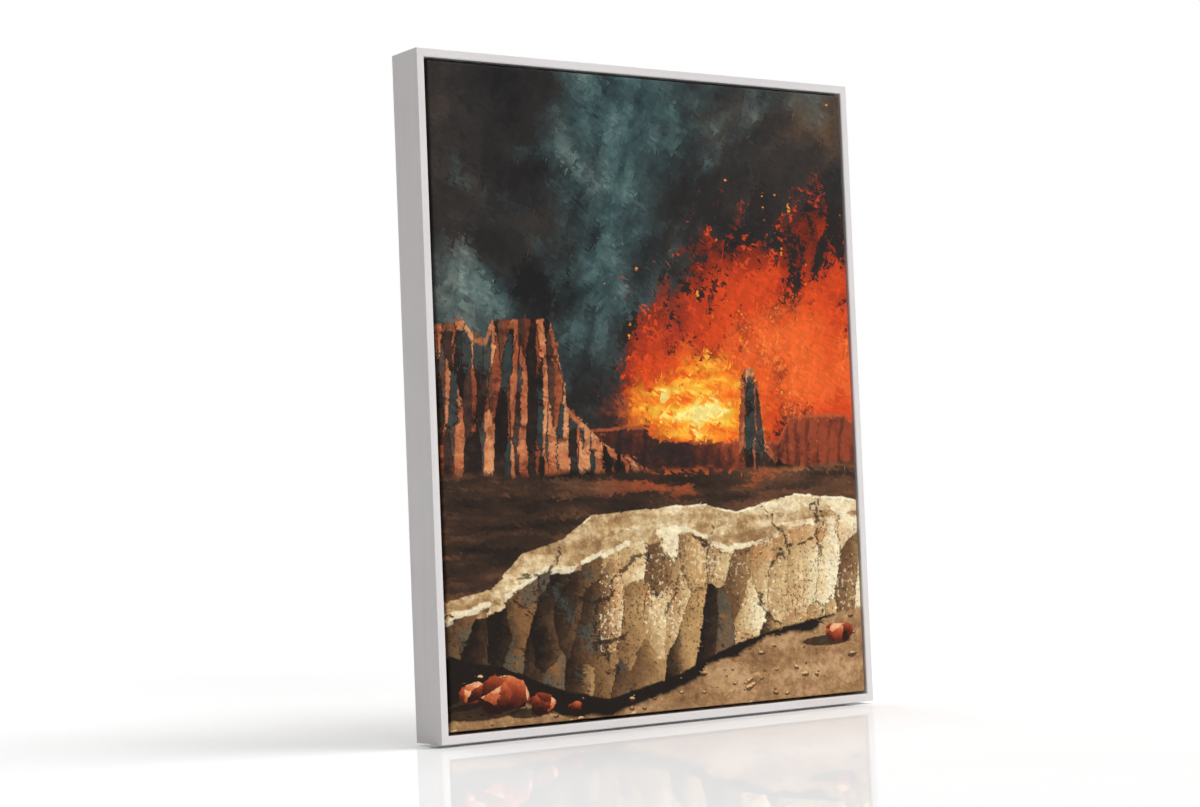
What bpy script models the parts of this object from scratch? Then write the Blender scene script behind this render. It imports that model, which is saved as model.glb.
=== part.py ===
"""A stretched canvas picture in a white floating frame, standing upright on its lower edge.

Metres, +Z up. The picture faces -Y. The origin is on the underside of the frame, at the middle of
its width and of its whole depth, with what stands out at the back.
"""

import math

import bmesh
import bpy
from mathutils import Matrix, Vector

MM = 0.001
INCH = 25.4 * MM

# Driving dimensions
CANVAS_WIDTH = 16 * INCH
CANVAS_HEIGHT = 20 * INCH
FRAME_DEPTH = 1.5 * INCH
LIP = 6.5 * MM  # thickness of the frame's wall, which shows as its face
FLOAT_GAP = 2.5 * MM  # shadow line between the frame's wall and the canvas
FOOT_REACH = 30 * MM  # how far the foot at the back reaches in from the outer side
FOOT_THICKNESS = 7 * MM
EDGE_EASING = 0.7 * MM
EASING_STEPS = 3

CLOTH_THICKNESS = 0.6 * MM
CLOTH_FOLD_RADIUS = 1.6 * MM
CLOTH_FLAP = 32 * MM  # cloth turned over the back of the bars
FOLD_STEPS = 4

BAR_WIDTH = 38 * MM
BAR_BEAD = 5 * MM  # flat outer rim of a bar, the only part that the cloth touches
BAR_RELIEF = 2.5 * MM  # how far the bar's front falls away behind the cloth
BAR_EASING = 1 * MM

CLEARANCE = 0.3 * MM  # between pieces that touch

SCREW_HEAD_RADIUS = 3.6 * MM
SCREW_HEAD_HEIGHT = 2.2 * MM
SCREW_SHANK_RADIUS = 1.6 * MM
SCREW_LENGTH = 20 * MM
SCREW_SIDES = 16
SCREW_SPREAD = 0.3  # place of each screw from its bar's middle, as a share of the bar's length

HANGER_LENGTH = 44 * MM
HANGER_HEIGHT = 9 * MM
HANGER_THICKNESS = 0.9 * MM
HANGER_STANDOFF = 1.6 * MM  # how far its toothed middle stands off the frame
HANGER_TEETH = 9
HANGER_TOOTH_DEPTH = 1.8 * MM
HANGER_TAB = 9 * MM  # flat end that a nail holds
HANGER_RISE = 2.5 * MM  # length of the slope from a tab to the toothed middle

BUMPER_RADIUS = 5.5 * MM
BUMPER_HEIGHT = 2.5 * MM
BUMPER_SIDES = 24
BUMPER_DOME_STEPS = 4

# Sizes that follow
MARGIN = LIP + FLOAT_GAP
FRAME_WIDTH = CANVAS_WIDTH + 2 * MARGIN
FRAME_HEIGHT = CANVAS_HEIGHT + 2 * MARGIN
WHOLE_DEPTH = FRAME_DEPTH + CLEARANCE + max(BUMPER_HEIGHT, HANGER_STANDOFF + HANGER_THICKNESS)
FRONT_Y = -WHOLE_DEPTH / 2
BACK_Y = FRONT_Y + FRAME_DEPTH
FOOT_Y = BACK_Y - FOOT_THICKNESS
CLOTH_DEPTH = FOOT_Y - CLEARANCE - FRONT_Y
BAR_INSET = MARGIN + CLOTH_THICKNESS + CLEARANCE
BAR_FRONT_Y = FRONT_Y + CLOTH_THICKNESS + CLEARANCE
BAR_DEPTH = CLOTH_DEPTH - 2 * (CLOTH_THICKNESS + CLEARANCE)
SCREW_INSET = (BAR_INSET + BAR_EASING + FOOT_REACH) / 2  # middle of the foot's bearing on a bar

PAINT = ("white_lacquer", (0.80, 0.79, 0.78), 0.38, 0.0)
PINE = ("bare_pine", (0.62, 0.43, 0.24), 0.62, 0.0)
CLOTH = ("printed_canvas", (0.22, 0.14, 0.10), 0.70, 0.0)
ZINC = ("zinc_plate", (0.62, 0.62, 0.60), 0.35, 1.0)
RUBBER = ("clear_rubber", (0.55, 0.55, 0.54), 0.45, 0.0)


def clear_scene():
    for obj in list(bpy.data.objects):
        bpy.data.objects.remove(obj)


def material(finish):
    name, colour, roughness, metallic = finish
    found = bpy.data.materials.get(name)
    if found:
        return found
    made = bpy.data.materials.new(name)
    made.use_nodes = True
    shader = made.node_tree.nodes["Principled BSDF"]
    shader.inputs["Base Color"].default_value = (*colour, 1)
    shader.inputs["Roughness"].default_value = roughness
    shader.inputs["Metallic"].default_value = metallic
    return made


def finish_object(name, mesh_data, finish, smooth_angle=35):
    """Turns a bmesh into a named object with its faces pointing out."""
    bmesh.ops.recalc_face_normals(mesh_data, faces=mesh_data.faces)
    mesh = bpy.data.meshes.new(name)
    mesh_data.to_mesh(mesh)
    mesh_data.free()
    mesh.shade_smooth()
    mesh.set_sharp_from_angle(angle=math.radians(smooth_angle))
    mesh.materials.append(material(finish))
    obj = bpy.data.objects.new(name, mesh)
    bpy.context.scene.collection.objects.link(obj)
    return obj


def eased(outline, radii, steps):
    """Rounds each corner of a closed 2-D outline by its own radius. A radius of 0 keeps it sharp."""
    points = []
    for i, corner in enumerate(outline):
        radius = radii[i]
        here = Vector(corner)
        if radius == 0:
            points.append(here)
            continue
        to_last = (Vector(outline[i - 1]) - here).normalized()
        to_next = (Vector(outline[(i + 1) % len(outline)]) - here).normalized()
        half_angle = to_last.angle(to_next) / 2
        reach = radius / math.tan(half_angle)
        centre = here + (to_last + to_next).normalized() * (radius / math.sin(half_angle))
        start = here + to_last * reach - centre
        end = here + to_next * reach - centre
        for step in range(steps + 1):
            points.append(centre + radius * start.slerp(end, step / steps))
    return points


def frame_profile():
    """Section of the frame: (inward from the outer side, y). A wall with a foot at the back."""
    outline = [
        (0, FRONT_Y),
        (LIP, FRONT_Y),
        (LIP, FOOT_Y),
        (FOOT_REACH, FOOT_Y),
        (FOOT_REACH, BACK_Y),
        (0, BACK_Y),
    ]
    easing = [EDGE_EASING, EDGE_EASING, 0, EDGE_EASING, EDGE_EASING, EDGE_EASING]
    return eased(outline, easing, EASING_STEPS)


def bar_profile():
    """Section of a stretcher bar: (inward from the frame's outer side, y)."""
    inner = BAR_INSET + BAR_WIDTH
    back = BAR_FRONT_Y + BAR_DEPTH
    outline = [
        (BAR_INSET, BAR_FRONT_Y),
        (BAR_INSET + BAR_BEAD, BAR_FRONT_Y),
        (inner, BAR_FRONT_Y + BAR_RELIEF),
        (inner, back),
        (BAR_INSET, back),
    ]
    easing = [BAR_EASING, 0, BAR_EASING, BAR_EASING, BAR_EASING]
    return eased(outline, easing, EASING_STEPS)


def mitred_member(name, profile, length, finish):
    """A bar along +X from x = 0, its outer side on z = 0, with both ends cut at 45 degrees."""
    half_joint = CLEARANCE / 2 * math.sqrt(2)
    member = bmesh.new()
    section = [member.verts.new((inward + half_joint, y, inward)) for inward, y in profile]
    face = member.faces.new(section)
    extruded = bmesh.ops.extrude_face_region(member, geom=[face])
    for vert in (g for g in extruded["geom"] if isinstance(g, bmesh.types.BMVert)):
        vert.co.x = length - vert.co.x
    return finish_object(name, member, finish)


def place_member(obj, side, width, height):
    """Stands a member on its side of the frame, around the middle of the opening."""
    quarter_turns = {"bottom": 0, "left": 1, "top": 2, "right": 3}[side]
    along, across = (width, height) if quarter_turns % 2 == 0 else (height, width)
    to_middle = Matrix.Translation((-along / 2, 0, -across / 2))
    turn = Matrix.Rotation(quarter_turns * math.pi / 2, 4, "Y")
    obj.data.transform(Matrix.Translation((0, 0, height / 2)) @ turn @ to_middle)
    return obj


def make_surround(prefix, profile, finish):
    """Four mitred members round the picture, named prefix_side."""
    members = {}
    for side in ("bottom", "left", "top", "right"):
        length = FRAME_WIDTH if side in ("bottom", "top") else FRAME_HEIGHT
        member = mitred_member(f"{prefix}_{side}", profile, length, finish)
        members[side] = place_member(member, side, FRAME_WIDTH, FRAME_HEIGHT)
    return members


def cloth_section():
    """Half section of the cloth, from the front's rim round the fold to the flap and back inside."""
    outer, inner = MARGIN, MARGIN + CLOTH_THICKNESS
    front, back = FRONT_Y, FRONT_Y + CLOTH_DEPTH
    flap = MARGIN + CLOTH_FLAP
    inner_radius = CLOTH_FOLD_RADIUS - CLOTH_THICKNESS
    outline = [
        (flap, front),
        (outer, front),
        (outer, back),
        (flap, back),
        (flap, back - CLOTH_THICKNESS),
        (inner, back - CLOTH_THICKNESS),
        (inner, front + CLOTH_THICKNESS),
        (flap, front + CLOTH_THICKNESS),
    ]
    easing = [0, CLOTH_FOLD_RADIUS, CLOTH_FOLD_RADIUS, 0, 0, inner_radius, inner_radius, 0]
    return eased(outline, easing, FOLD_STEPS)


def rectangle_loop(mesh_data, inset, y):
    half_width = FRAME_WIDTH / 2 - inset
    low, high = inset, FRAME_HEIGHT - inset
    corners = ((-half_width, low), (half_width, low), (half_width, high), (-half_width, high))
    return [mesh_data.verts.new((x, y, z)) for x, z in corners]


def make_canvas():
    """One piece of cloth over the front, round the sides and turned over behind the bars."""
    cloth = bmesh.new()
    loops = [rectangle_loop(cloth, inset, y) for inset, y in cloth_section()]
    for loop, after in zip(loops, loops[1:]):
        for i in range(4):
            j = (i + 1) % 4
            cloth.faces.new((loop[i], loop[j], after[j], after[i]))
    cloth.faces.new(loops[0])
    cloth.faces.new(loops[-1])
    return finish_object("canvas", cloth, CLOTH)


def turned(name, outline, sides, finish):
    """A round piece about the Y axis. The outline is (radius, y), and starts and ends on the axis."""
    piece = bmesh.new()
    verts = [piece.verts.new((radius, y, 0)) for radius, y in outline]
    edges = [piece.edges.new(pair) for pair in zip(verts, verts[1:])]
    bmesh.ops.spin(
        piece,
        geom=verts + edges,
        axis=(0, 1, 0),
        cent=(0, 0, 0),
        angle=2 * math.pi,
        steps=sides,
        use_merge=True,
    )
    bmesh.ops.remove_doubles(piece, verts=piece.verts, dist=1e-6)
    return finish_object(name, piece, finish)


def screw_places():
    """(x, z) of the eight screws, two on each side of the frame."""
    places = []
    for share in (-SCREW_SPREAD, SCREW_SPREAD):
        for z in (SCREW_INSET, FRAME_HEIGHT - SCREW_INSET):
            places.append((share * FRAME_WIDTH, z))
        for x in (SCREW_INSET - FRAME_WIDTH / 2, FRAME_WIDTH / 2 - SCREW_INSET):
            places.append((x, FRAME_HEIGHT / 2 + share * FRAME_HEIGHT))
    return places


def screw_outline():
    """Pan head and plain shank, pointing to -Y, with the head's underside at y = 0."""
    tip = -SCREW_LENGTH
    taper = 2 * SCREW_SHANK_RADIUS
    return [
        (0, tip),
        (SCREW_SHANK_RADIUS, tip + taper),
        (SCREW_SHANK_RADIUS, 0),
        (SCREW_HEAD_RADIUS, 0),
        (SCREW_HEAD_RADIUS, SCREW_HEAD_HEIGHT * 0.45),
        (SCREW_HEAD_RADIUS * 0.72, SCREW_HEAD_HEIGHT * 0.9),
        (0, SCREW_HEAD_HEIGHT),
    ]


def make_screws():
    screws = []
    for number, (x, z) in enumerate(screw_places(), start=1):
        screw = turned(f"screw_{number}", screw_outline(), SCREW_SIDES, ZINC)
        screw.data.transform(Matrix.Translation((x, BACK_Y + CLEARANCE, z)))
        screws.append(screw)
    return screws


def make_screw_holes():
    """One hidden cutter for each screw, wider than its shank all round."""
    cutters = bpy.data.collections.new("screw_holes")
    radius = SCREW_SHANK_RADIUS + CLEARANCE
    depth = SCREW_LENGTH + CLEARANCE
    outline = [(0, -depth), (radius, -depth), (radius, FOOT_THICKNESS), (0, FOOT_THICKNESS)]
    for number, (x, z) in enumerate(screw_places(), start=1):
        cutter = turned(f"hole_{number}", outline, SCREW_SIDES, ZINC)
        cutter.data.transform(Matrix.Translation((x, BACK_Y, z)))
        bpy.context.scene.collection.objects.unlink(cutter)
        cutters.objects.link(cutter)
        cutter.hide_render = True
        cutter.display_type = "WIRE"
    bpy.context.scene.collection.children.link(cutters)
    return cutters


def drill(pieces, cutters):
    for piece in pieces:
        cut = piece.modifiers.new("Screw holes", "BOOLEAN")
        cut.operation = "DIFFERENCE"
        cut.operand_type = "COLLECTION"
        cut.collection = cutters


def hanger_columns():
    """(x, y stand-off, z of the lower edge) along the hanger, from one end to the other."""
    half, low = HANGER_LENGTH / 2, -HANGER_HEIGHT / 2
    toothed = half - HANGER_TAB - HANGER_RISE
    columns = [(-half, 0, low), (-half + HANGER_TAB, 0, low)]
    for step in range(2 * HANGER_TEETH + 1):
        x = -toothed + 2 * toothed * step / (2 * HANGER_TEETH)
        columns.append((x, HANGER_STANDOFF, low + (step % 2) * HANGER_TOOTH_DEPTH))
    columns += [(half - HANGER_TAB, 0, low), (half, 0, low)]
    return columns


def make_hanger():
    """Sawtooth hanger on the foot at the middle of the top, teeth downwards."""
    plate = bmesh.new()
    z = FRAME_HEIGHT - FOOT_REACH / 2
    near = BACK_Y + CLEARANCE
    rows = []
    for x, standoff, low in hanger_columns():
        y = near + standoff
        corners = (
            (x, y, z + low),
            (x, y, z + HANGER_HEIGHT / 2),
            (x, y + HANGER_THICKNESS, z + HANGER_HEIGHT / 2),
            (x, y + HANGER_THICKNESS, z + low),
        )
        rows.append([plate.verts.new(corner) for corner in corners])
    for row, after in zip(rows, rows[1:]):
        for i in range(4):
            j = (i + 1) % 4
            plate.faces.new((row[i], row[j], after[j], after[i]))
    plate.faces.new(rows[0])
    plate.faces.new(rows[-1])
    return finish_object("hanger", plate, ZINC)


def make_bumpers():
    """Two round rubber feet that keep the lower corners off a wall."""
    rim = BUMPER_HEIGHT * 0.4
    outline = [(0, 0), (BUMPER_RADIUS, 0), (BUMPER_RADIUS, rim)]
    for step in range(1, BUMPER_DOME_STEPS + 1):
        turn = math.pi / 2 * step / BUMPER_DOME_STEPS
        radius = 0 if step == BUMPER_DOME_STEPS else BUMPER_RADIUS * math.cos(turn)
        outline.append((radius, rim + (BUMPER_HEIGHT - rim) * math.sin(turn)))
    for side, sign in (("left", -1), ("right", 1)):
        bumper = turned(f"bumper_{side}", outline, BUMPER_SIDES, RUBBER)
        x = sign * (FRAME_WIDTH / 2 - FOOT_REACH / 2)
        bumper.data.transform(Matrix.Translation((x, BACK_Y + CLEARANCE, FOOT_REACH / 2)))


def main():
    clear_scene()
    frame = make_surround("frame", frame_profile(), PAINT)
    bars = make_surround("bar", bar_profile(), PINE)
    canvas = make_canvas()
    make_screws()
    drill([*frame.values(), *bars.values(), canvas], make_screw_holes())
    make_hanger()
    make_bumpers()


main()
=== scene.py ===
"""Looks of a framed canvas picture: white floating frame, printed canvas, bare back and its fittings."""

import math
import random

import bmesh
import bpy
from mathutils import Matrix, Vector, noise


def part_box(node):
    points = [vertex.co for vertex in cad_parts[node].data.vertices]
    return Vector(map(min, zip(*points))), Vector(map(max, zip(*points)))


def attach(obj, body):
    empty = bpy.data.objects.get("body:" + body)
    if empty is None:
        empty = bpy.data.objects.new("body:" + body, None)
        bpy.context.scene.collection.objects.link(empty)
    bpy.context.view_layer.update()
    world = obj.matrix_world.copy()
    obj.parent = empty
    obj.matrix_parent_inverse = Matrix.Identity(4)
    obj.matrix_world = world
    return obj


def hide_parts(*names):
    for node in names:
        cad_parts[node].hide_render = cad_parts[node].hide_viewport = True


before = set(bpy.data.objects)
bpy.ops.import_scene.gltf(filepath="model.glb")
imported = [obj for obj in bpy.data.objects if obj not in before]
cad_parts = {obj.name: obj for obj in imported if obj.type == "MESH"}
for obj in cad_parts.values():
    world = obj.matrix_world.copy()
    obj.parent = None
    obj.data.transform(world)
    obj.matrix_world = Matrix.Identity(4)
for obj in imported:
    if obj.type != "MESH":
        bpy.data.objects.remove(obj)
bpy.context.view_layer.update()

MM = 0.001

# Sizes read from the frame
FRAME_LOW, FRAME_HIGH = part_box("frame_left")[0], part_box("frame_right")[1]
FRAME_WIDTH = FRAME_HIGH.x - FRAME_LOW.x
FRAME_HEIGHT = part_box("frame_top")[1].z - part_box("frame_bottom")[0].z
FRONT_Y, BACK_Y = FRAME_LOW.y, FRAME_HIGH.y
CANVAS_LOW, CANVAS_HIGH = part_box("canvas")
CANVAS_WIDTH = CANVAS_HIGH.x - CANVAS_LOW.x
CANVAS_HEIGHT = CANVAS_HIGH.z - CANVAS_LOW.z
CANVAS_DEPTH = CANVAS_HIGH.y - CANVAS_LOW.y
CLOTH_BACK_Y = FRONT_Y + CANVAS_DEPTH
MIDDLE_Z = FRAME_HEIGHT / 2
MARGIN = CANVAS_LOW.x - FRAME_LOW.x
FOOT_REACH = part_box("frame_left")[1].x - FRAME_LOW.x
SIDES = ("bottom", "left", "top", "right")

# Sizes of the frame's section and of the cloth, as the solids have them
LIP = 6.5 * MM
FOOT_THICKNESS = 7 * MM
HANGER_THICKNESS = 0.9 * MM
CLEARANCE = 0.3 * MM  # between pieces that touch
EDGE_EASING = 0.55 * MM
INNER_EASING = 1.1 * MM  # the sanded inner arris of the lip, which catches the light
CLOTH_THICKNESS = 0.6 * MM
CLOTH_FOLD_RADIUS = 1.6 * MM
CLOTH_FLAP = 32 * MM
PRINT_BLEED = 14 * MM  # how far the print runs on over the flaps
FLAT_WIDTH = CANVAS_WIDTH + 2 * (CANVAS_DEPTH + CLOTH_FLAP)
FLAT_HEIGHT = CANVAS_HEIGHT + 2 * (CANVAS_DEPTH + CLOTH_FLAP)

# The photograph's view
CAMERA_PLACE = Vector((-1.0884, -1.5252, 0.1704))
CAMERA_AIM = Vector((-0.0570, FRONT_Y, 0.2547))
CAMERA_ROLL = math.radians(2.30)
CAMERA_LENS = 69.45
CAMERA_SENSOR = 36.0

# Room
ROOM_LIGHT = 0.02
FLOOR_MIRROR = 0.25
FLOOR_FADE_START = 4.5
FLOOR_END = 8.0
FLOOR_DROP = 2.3 * MM


class Wire:
    """One socket of a material. Python's operators on it add Math nodes."""

    def __init__(self, surface, socket):
        self.surface = surface
        self.socket = socket

    def math(self, operation, *values):
        sockets = dict(enumerate((self, *values)))
        return self.surface.node("ShaderNodeMath", {"operation": operation}, sockets)

    def __add__(self, other):
        return self.math("ADD", other)

    __radd__ = __add__

    def __sub__(self, other):
        return self.math("SUBTRACT", other)

    def __rsub__(self, other):
        return self.math("MULTIPLY_ADD", -1, other)

    def __mul__(self, other):
        return self.math("MULTIPLY", other)

    __rmul__ = __mul__

    def __truediv__(self, other):
        return self.math("DIVIDE", other)

    def __pow__(self, other):
        return self.math("POWER", other)

    def __abs__(self):
        return self.math("ABSOLUTE")

    def sine(self):
        return self.math("SINE")

    def most(self, other):
        return self.math("MAXIMUM", other)

    def sway(self, reach):
        """Turns 0 to 1 into as much as half of reach to either side of zero."""
        return self.math("MULTIPLY_ADD", reach, -reach / 2)

    def step(self, low, high):
        """0 below low, 1 above high and a smooth rise between them. With low over high it falls."""
        if low > high:
            return 1 - self.step(high, low)
        settings = {"interpolation_type": "SMOOTHSTEP"}
        return self.surface.node("ShaderNodeMapRange", settings, {0: self, 1: low, 2: high})

    def also(self, name):
        """Another output of the same node."""
        return Wire(self.surface, self.socket.node.outputs[name])


def tint(code):
    """Linear colour of a hexadecimal sRGB code."""
    parts = [int(code[i : i + 2], 16) / 255 for i in (1, 3, 5)]
    linear = [p / 12.92 if p <= 0.04045 else ((p + 0.055) / 1.055) ** 2.4 for p in parts]
    return (*linear, 1.0)


class Surface:
    """A material with one Principled shader and the nodes that feed it."""

    def __init__(self, name, **constants):
        self.material = bpy.data.materials.new(name)
        self.material.use_nodes = True
        self.tree = self.material.node_tree
        self.shader = self.tree.nodes["Principled BSDF"]
        for socket, value in constants.items():
            self.shader.inputs[socket.replace("_", " ")].default_value = value

    def node(self, kind, settings=None, sockets=None, out=0):
        """Adds a node. Its settings come first, then its sockets take values or wires."""
        made = self.tree.nodes.new(kind)
        for name, value in (settings or {}).items():
            if name == "stops":
                self.fill_ramp(made.color_ramp, value)
            elif name == "curve":
                self.fill_curve(made.mapping, value)
            else:
                setattr(made, name, value)
        for name, value in (sockets or {}).items():
            if isinstance(value, Wire):
                self.tree.links.new(value.socket, made.inputs[name])
            else:
                made.inputs[name].default_value = value
        return Wire(self, made.outputs[out])

    @staticmethod
    def fill_ramp(ramp, stops):
        while len(ramp.elements) < len(stops):
            ramp.elements.new(1.0)
        for element, (place, colour) in zip(ramp.elements, stops):
            element.position = place
            element.color = tint(colour)

    @staticmethod
    def fill_curve(mapping, points):
        curve = mapping.curves[0]
        while len(curve.points) < len(points):
            curve.points.new(0.5, 0.5)
        for point, place in zip(curve.points, points):
            point.location = place
            point.handle_type = "VECTOR"
        mapping.update()

    def feed(self, name, wire):
        self.tree.links.new(wire.socket, self.shader.inputs[name])

    def mix(self, share, first, second):
        """A colour that goes from first to second as share goes from 0 to 1."""
        first, second = (tint(c) if isinstance(c, str) else c for c in (first, second))
        return self.node("ShaderNodeMix", {"data_type": "RGBA"}, {0: share, 6: first, 7: second}, out=2)

    def ramp(self, share, *stops):
        return self.node("ShaderNodeValToRGB", {"stops": stops}, {0: share})

    def vector(self, operation, first, second):
        return self.node("ShaderNodeVectorMath", {"operation": operation}, {0: first, 1: second})

    def between(self, share, first, second):
        """A vector that goes from first to second as share goes from 0 to 1."""
        sockets = {0: share, 4: first, 5: second}
        return self.node("ShaderNodeMix", {"data_type": "VECTOR"}, sockets, out=1)

    def outline(self, u, points):
        """Height at u of an outline through given points."""
        return self.node("ShaderNodeFloatCurve", {"curve": points}, {1: u})

    def point(self, x, y):
        return self.node("ShaderNodeCombineXYZ", None, {0: x, 1: y})

    def parts(self, vector):
        """The X, Y and Z of a vector."""
        x = self.node("ShaderNodeSeparateXYZ", None, {0: vector})
        return x, x.also("Y"), x.also("Z")

    def place(self):
        """Where a point lies on the object, in metres."""
        return self.node("ShaderNodeTexCoord", out="Object")

    def noise(self, place, scale, detail, rough, warp=0.0, kind="2D"):
        sockets = {"Vector": place, "Scale": scale, "Detail": detail, "Roughness": rough}
        sockets["Distortion"] = warp
        return self.node("ShaderNodeTexNoise", {"noise_dimensions": kind}, sockets)

    def mottle(self, scale, detail, rough, dark, light):
        """Feeds the colour with an even mottle between two tones, and gives the noise that makes it."""
        tone = self.noise(self.place(), scale, detail, rough, kind="3D")
        self.feed("Base Color", self.ramp(tone, (0.35, dark), (0.65, light)))
        return tone

    def scaled(self, place, sizes):
        return self.vector("MULTIPLY", place, sizes)

    def shifted(self, place, across, up):
        return self.vector("ADD", place, self.point(across, up))

    def streaks(self, place, sizes, *settings, **kind):
        """Noise with a scale of its own along each axis."""
        return self.noise(self.scaled(place, sizes), 1.0, *settings, **kind)

    def voronoi(self, grid, spread, **settings):
        sockets = {"Vector": grid, "Scale": 1.0, "Randomness": spread}
        return self.node("ShaderNodeTexVoronoi", {"voronoi_dimensions": "2D", **settings}, sockets)

    def cells(self, grid, spread=1.0, distance="EUCLIDEAN"):
        """Random cells of a grid: the distance to a cell's middle, and three random numbers of it."""
        cell = self.voronoi(grid, spread, feature="F1", distance=distance)
        return cell, *self.parts(cell.also("Color"))

    def edges(self, grid, spread=1.0):
        """Distance to the nearest edge of the same cells."""
        return self.voronoi(grid, spread, feature="DISTANCE_TO_EDGE")

    def aside(self, grid, cell):
        """How far a point of the grid lies from its cell's middle, across the cell."""
        return self.parts(self.vector("SUBTRACT", grid, cell.also("Position")))[1]

    def turned(self, place, angle, size, back=False):
        """place in a grid turned by angle, with cells of that (length, width), or out of it again."""
        settings = {"vector_type": "POINT" if back else "TEXTURE"}
        sockets = {"Vector": place, "Rotation": (0, 0, angle), "Scale": (*size, 1.0)}
        return self.node("ShaderNodeMapping", settings, sockets)

    def bump(self, height, distance):
        sockets = {"Height": height, "Distance": distance, "Strength": 1.0}
        return self.node("ShaderNodeBump", None, sockets)


def strokes(s, place, length, width, angle):
    """A layer of brush strokes: the middle of the stroke at each place, and two random numbers."""
    grid = s.turned(place, angle, (length, width))
    bristles = s.streaks(grid, (0.3, 5.0, 1.0), 2, 0.6)
    wobble = s.noise(grid, 1.3, 2, 0.5)
    shifted = s.shifted(grid, bristles.sway(1.0), wobble.sway(0.9))
    cell, first, second, _ = s.cells(shifted, 0.9, "CHEBYCHEV")
    return s.turned(cell.also("Position"), angle, (length, width), back=True), first, second


# Outlines of the painted canyon: across from 0 to 1, and height as a share of the picture's width
FAR_MESAS = [
    (0, 0.515), (0.30, 0.52), (0.34, 0.555), (0.46, 0.56), (0.50, 0.53),
    (0.80, 0.525), (0.83, 0.575), (0.97, 0.58), (1, 0.56),
]
BUTTE = [
    (0, 0.755), (0.06, 0.76), (0.075, 0.735), (0.105, 0.73), (0.12, 0.765), (0.245, 0.77),
    (0.262, 0.735), (0.285, 0.60), (0.36, 0.53), (0.48, 0.47), (1, 0.40),
]
SPIRE = [
    (0, 0.1), (0.665, 0.1), (0.695, 0.50), (0.708, 0.655), (0.722, 0.675), (0.742, 0.672),
    (0.752, 0.64), (0.765, 0.52), (0.81, 0.48), (1, 0.45),
]
TERRACE = [
    (0, 0.24), (0.10, 0.262), (0.17, 0.325), (0.26, 0.345), (0.33, 0.388),
    (0.60, 0.405), (0.68, 0.385), (0.84, 0.415), (1, 0.40),
]
TERRACE_BROW = [
    (0, 0.205), (0.13, 0.235), (0.22, 0.285), (0.31, 0.30), (0.40, 0.335),
    (0.55, 0.345), (0.66, 0.315), (0.82, 0.355), (1, 0.35),
]
TERRACE_FOOT = [
    (0, 0.14), (0.12, 0.11), (0.26, 0.055), (0.36, 0.035), (0.50, 0.065), (0.70, 0.13),
    (0.84, 0.155), (1, 0.175),
]
PLAIN_EDGE = 0.475
GLOW = (0.86, 0.72)
SUN = (0.60, 0.585)
# Each fallen rock: its middle, half its width and height, and a turn that sets its form
FALLEN_ROCKS = [
    (0.045, 0.066, 0.032, 0.024, 2.9),
    (0.115, 0.060, 0.056, 0.036, 4.0),
    (0.200, 0.038, 0.030, 0.021, 2.1),
    (0.275, 0.024, 0.016, 0.011, 5.2),
    (0.94, 0.128, 0.040, 0.022, 0.5),
]


class Dab:
    """Where on the picture a dab of paint takes its colour from, and how uneven the paint is there."""

    def __init__(self, s, at, place):
        self.s, self.at, self.place = s, at, place
        self.u, self.v, _ = s.parts(at)
        self.steady = s.between(0.72, at, place)
        self.steady_u, self.steady_v, _ = s.parts(self.steady)
        self.cloud = s.noise(at, 2.7, 4, 0.55, 0.4)
        self.drift = s.noise(at, 8.0, 4, 0.6, 0.3)
        self.worn = s.noise(at, 7.0, 6, 0.68, 0.5)
        self.grit = s.noise(place, 60.0, 4, 0.7)
        self.run = s.streaks(at, (3.0, 26.0, 1.0), 4, 0.6)
        self.heat = self.near(GLOW, 3.4, 6.4, 1.02) + self.cloud.sway(1.2) + self.worn.sway(0.9)

    def near(self, middle, wide, high, most):
        """most at a middle, and less away from it by an ellipse's radius."""
        dx, dy = self.u - middle[0], self.v - middle[1]
        return most - (dx * dx * wide + dy * dy * high) ** 0.5

    def under(self, outline, rough):
        """How far a dab is below an outline."""
        return self.s.outline(self.steady_u, outline) - self.steady_v + self.drift.sway(rough)


def paint_sky(s, dab):
    """Charcoal night, a bank of teal smoke across it, and an orange glow worn through at its edge."""
    cloud, drift, worn, heat, grit = dab.cloud, dab.drift, dab.worn, dab.heat, dab.grit
    night = cloud * 0.65 + drift * 0.35
    colour = s.ramp(night, (0.33, "#161515"), (0.46, "#2a2726"), (0.55, "#3b332e"), (0.66, "#5f4a38"))
    bank = abs(dab.u - 0.36 - (dab.v - 0.9) * 0.35) * 2.6
    smoke = (1.1 - bank + cloud.sway(3.2) + worn.sway(0.8)).step(0.15, 1.0)
    smoke = smoke * (dab.v + drift.sway(0.3)).step(0.60, 0.82)
    teal = (0.36, "#202d31"), (0.47, "#395052"), (0.56, "#557170"), (0.68, "#93aaa3")
    colour = s.mix(smoke * 0.9, colour, s.ramp(drift * 0.5 + worn * 0.5, *teal))
    glow = (0.18, "#3d1c15"), (0.34, "#7d2a18"), (0.52, "#bd3a1a"), (0.68, "#e04c1c"), (0.92, "#f4672a")
    colour = s.mix(heat.step(0.24, 0.34) * 0.95, colour, s.ramp(heat, *glow))
    scrape = s.noise(s.scaled(dab.at, (1.0, 0.7, 1.0)), 9.0, 7, 0.74, 0.2)
    fringe = heat.step(0.05, 0.30) * (1 - heat.step(0.55, 0.95))
    colour = s.mix((scrape + grit * 0.25).step(0.66, 0.69) * fringe, colour, "#241e1c")
    colour = s.mix((1 - scrape + grit * 0.25).step(0.70, 0.73) * fringe * 0.9, colour, "#d9481d")
    glints = (scrape + grit.sway(0.6)).step(0.62, 0.66) * heat.step(0.6, 0.8)
    return s.mix(glints * 0.7, colour, "#f9813a")


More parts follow.
